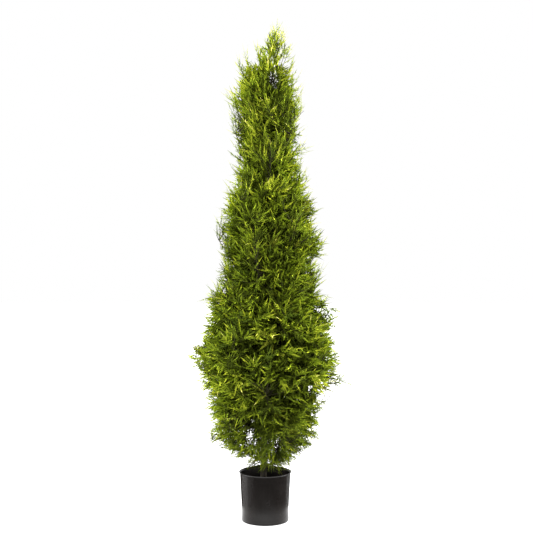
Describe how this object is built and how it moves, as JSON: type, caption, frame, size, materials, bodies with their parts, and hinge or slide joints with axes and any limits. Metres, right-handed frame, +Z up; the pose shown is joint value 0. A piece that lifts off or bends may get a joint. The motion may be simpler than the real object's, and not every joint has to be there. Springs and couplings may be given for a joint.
{
  "type": "potted artificial cypress pine",
  "caption": "Tall artificial cypress pine: a dense column of feathery moulded sprays with a wide belly, on one trunk in a plain round pot with a flared lip.",
  "frame": {"origin": "centre of the pot's flat underside, on the floor", "axes": "+Z up along the trunk; +X to the right and +Y away as the tree is seen from the front"},
  "size_m": [0.5963, 0.5672, 1.7998],
  "materials": {
    "pot_plastic": "satin",
    "fill": "matte",
    "bark": "matte",
    "foliage": "matte"
  },
  "bodies": {
    "root": {"pot": "pot_plastic", "pot_fill": "fill", "trunk": "bark", "bough_04": "bark", "bough_05": "bark", "bough_06": "bark", "bough_07": "bark", "bough_08": "bark", "bough_09": "bark", "bough_10": "bark", "bough_11": "bark", "bough_12": "bark", "bough_13": "bark", "bough_14": "bark", "bough_15": "bark", "bough_16": "bark", "bough_17": "bark", "bough_18": "bark", "bough_19": "bark", "bough_20": "bark", "bough_21": "bark", "bough_22": "bark", "bough_23": "bark", "bough_24": "bark", "foliage_01": "foliage", "foliage_02": "foliage", "foliage_03": "foliage", "foliage_04": "foliage", "foliage_05": "foliage", "foliage_06": "foliage", "foliage_07": "foliage", "foliage_08": "foliage", "foliage_09": "foliage", "foliage_10": "foliage", "foliage_11": "foliage", "foliage_12": "foliage", "foliage_13": "foliage", "foliage_14": "foliage", "foliage_15": "foliage", "foliage_16": "foliage", "foliage_17": "foliage", "foliage_18": "foliage", "foliage_19": "foliage", "foliage_20": "foliage", "foliage_21": "foliage", "foliage_22": "foliage", "foliage_23": "foliage", "foliage_24": "foliage", "foliage_25": "foliage", "foliage_26": "foliage", "foliage_27": "foliage", "foliage_28": "foliage", "foliage_29": "foliage", "foliage_30": "foliage", "foliage_31": "foliage", "foliage_32": "foliage", "foliage_33": "foliage", "foliage_leader": "foliage"}
  },
  "joints": []
}
